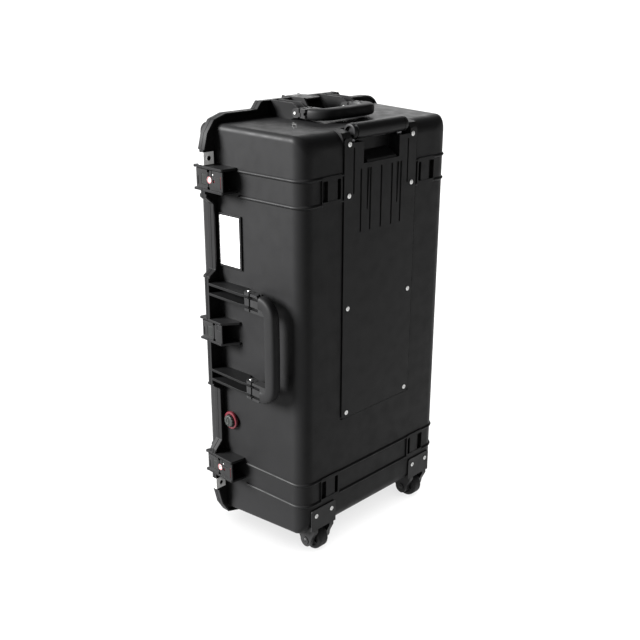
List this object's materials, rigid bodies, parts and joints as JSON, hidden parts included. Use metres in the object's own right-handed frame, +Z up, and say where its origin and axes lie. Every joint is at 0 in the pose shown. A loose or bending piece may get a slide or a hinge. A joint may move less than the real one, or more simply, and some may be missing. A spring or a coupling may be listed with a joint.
{
  "type": "drone carrying case",
  "caption": "Hard wheeled travel case standing on end, with hinged lid, lever latches, folding carry handles, trolley handle and foam pockets.",
  "frame": {"origin": "middle of the base at floor level, standing on the wheel end", "axes": "+Z up along the case, -Y the lid face, +Y the trolley panel, +X the latch side"},
  "size_m": [0.4642, 0.2646, 0.8115],
  "materials": {
    "shell_polymer": "fine-textured matte black moulded polymer",
    "handle_rubber": "soft matte overmould",
    "latch_polymer": "satin black polymer",
    "stainless_steel": "brushed stainless steel",
    "trolley_metal": "anodised tube",
    "wheel_rubber": "dense polyurethane",
    "foam": "open-cell charcoal foam",
    "seal_rubber": "soft polymer O-ring",
    "valve_grey": "moulded grey cap",
    "valve_red": "red ring",
    "card_white": "plain card"
  },
  "bodies": {
    "base": {"base_shell": "shell_polymer", "trolley_cover": "shell_polymer", "trolley_sleeve_left": "trolley_metal", "trolley_sleeve_right": "trolley_metal", "base_foam": "foam", "pressure_valve_cap": "valve_grey", "pressure_valve_ring": "valve_red", "card_holder": "shell_polymer", "id_card": "card_white", "padlock_plate_base_upper": "stainless_steel", "padlock_plate_base_lower": "stainless_steel", "hinge_pin_1": "stainless_steel", "hinge_pin_2": "stainless_steel", "wheel_bracket_left": "shell_polymer", "wheel_bracket_right": "shell_polymer", "wheel_axle_left": "stainless_steel", "wheel_axle_right": "stainless_steel", "cover_screw_1": "stainless_steel", "cover_screw_2": "stainless_steel", "cover_screw_3": "stainless_steel", "cover_screw_4": "stainless_steel", "cover_screw_5": "stainless_steel", "cover_screw_6": "stainless_steel", "cover_screw_7": "stainless_steel", "cover_screw_8": "stainless_steel", "bracket_screw_1": "stainless_steel", "bracket_screw_2": "stainless_steel", "bracket_screw_3": "stainless_steel", "bracket_screw_4": "stainless_steel", "handle_pin_side_a": "stainless_steel", "handle_pin_side_b": "stainless_steel", "handle_pin_top_a": "stainless_steel", "handle_pin_top_b": "stainless_steel"},
    "lid": {"lid_shell": "shell_polymer", "lid_foam": "foam", "lid_seal": "seal_rubber", "padlock_plate_lid_upper": "stainless_steel", "padlock_plate_lid_lower": "stainless_steel"},
    "latch_upper": {"latch_upper": "latch_polymer"},
    "button_upper": {"latch_button_upper": "latch_polymer"},
    "key_upper": {"key_cylinder_upper": "stainless_steel"},
    "latch_middle": {"latch_middle": "latch_polymer"},
    "button_middle": {"latch_button_middle": "latch_polymer"},
    "latch_lower": {"latch_lower": "latch_polymer"},
    "button_lower": {"latch_button_lower": "latch_polymer"},
    "key_lower": {"key_cylinder_lower": "stainless_steel"},
    "latch_top": {"latch_top": "latch_polymer"},
    "button_top": {"latch_button_top": "latch_polymer"},
    "handle_side": {"handle_frame_side": "shell_polymer", "handle_grip_side": "handle_rubber"},
    "handle_top": {"handle_frame_top": "shell_polymer", "handle_grip_top": "handle_rubber"},
    "trolley_middle": {"trolley_middle_tube_left": "trolley_metal", "trolley_middle_tube_right": "trolley_metal"},
    "trolley_inner": {"trolley_inner_tube_left": "trolley_metal", "trolley_inner_tube_right": "trolley_metal", "trolley_grip": "shell_polymer"},
    "trolley_release": {"trolley_button": "latch_polymer"},
    "wheel_left": {"wheel_left": "wheel_rubber"},
    "wheel_right": {"wheel_right": "wheel_rubber"}
  },
  "joints": [
    {"name": "lid_hinge", "type": "hinge", "parent": "base", "child": "lid", "pos_m": [-0.2263, -0.0755, 0.41], "axis": [0, 0, -1], "range_deg": [0, 110]},
    {"name": "latch_hinge_upper", "type": "hinge", "parent": "lid", "child": "latch_upper", "pos_m": [0.2224, -0.083, 0.6915], "axis": [0, 0, -1], "range_deg": [0, 80]},
    {"name": "latch_button_upper_press", "type": "slide", "parent": "latch_upper", "child": "button_upper", "axis": [-1, 0, 0], "range_m": [0, 0.002], "stiffness_N_per_m": 400, "springref_m": -0.0005},
    {"name": "key_turn_upper", "type": "hinge", "parent": "latch_upper", "child": "key_upper", "pos_m": [0.229, -0.0545, 0.6915], "axis": [1, 0, 0], "range_deg": [0, 90]},
    {"name": "latch_hinge_middle", "type": "hinge", "parent": "lid", "child": "latch_middle", "pos_m": [0.2224, -0.083, 0.414], "axis": [0, 0, -1], "range_deg": [0, 80]},
    {"name": "latch_button_middle_press", "type": "slide", "parent": "latch_middle", "child": "button_middle", "axis": [-1, 0, 0], "range_m": [0, 0.002], "stiffness_N_per_m": 400, "springref_m": -0.0005},
    {"name": "latch_hinge_lower", "type": "hinge", "parent": "lid", "child": "latch_lower", "pos_m": [0.2224, -0.083, 0.141], "axis": [0, 0, -1], "range_deg": [0, 80]},
    {"name": "latch_button_lower_press", "type": "slide", "parent": "latch_lower", "child": "button_lower", "axis": [-1, 0, 0], "range_m": [0, 0.002], "stiffness_N_per_m": 400, "springref_m": -0.0005},
    {"name": "key_turn_lower", "type": "hinge", "parent": "latch_lower", "child": "key_lower", "pos_m": [0.229, -0.0545, 0.141], "axis": [1, 0, 0], "range_deg": [0, 90]},
    {"name": "latch_hinge_top", "type": "hinge", "parent": "lid", "child": "latch_top", "pos_m": [0, -0.083, 0.8034], "axis": [1, 0, 0], "range_deg": [0, 80]},
    {"name": "latch_button_top_press", "type": "slide", "parent": "latch_top", "child": "button_top", "axis": [0, 0, -1], "range_m": [0, 0.002], "stiffness_N_per_m": 400, "springref_m": -0.0005},
    {"name": "handle_hinge_side", "type": "hinge", "parent": "base", "child": "handle_side", "pos_m": [0.219, 0.0275, 0.41], "axis": [0, 0, -1], "range_deg": [0, 90]},
    {"name": "handle_hinge_top", "type": "hinge", "parent": "base", "child": "handle_top", "pos_m": [0, -0.0025, 0.794], "axis": [1, 0, 0], "range_deg": [0, 90]},
    {"name": "trolley_slide_middle", "type": "slide", "parent": "base", "child": "trolley_middle", "axis": [0, 0, 1], "range_m": [0, 0.18]},
    {"name": "trolley_slide_inner", "type": "slide", "parent": "trolley_middle", "child": "trolley_inner", "axis": [0, 0, 1], "range_m": [0, 0.18]},
    {"name": "trolley_release_press", "type": "slide", "parent": "trolley_inner", "child": "trolley_release", "axis": [0, 0, 1], "range_m": [0, 0.004], "stiffness_N_per_m": 500, "springref_m": -0.0005},
    {"name": "wheel_spin_left", "type": "hinge", "parent": "base", "child": "wheel_left", "pos_m": [-0.138, 0.108, 0.024], "axis": [1, 0, 0], "continuous": true},
    {"name": "wheel_spin_right", "type": "hinge", "parent": "base", "child": "wheel_right", "pos_m": [0.138, 0.108, 0.024], "axis": [1, 0, 0], "continuous": true}
  ]
}
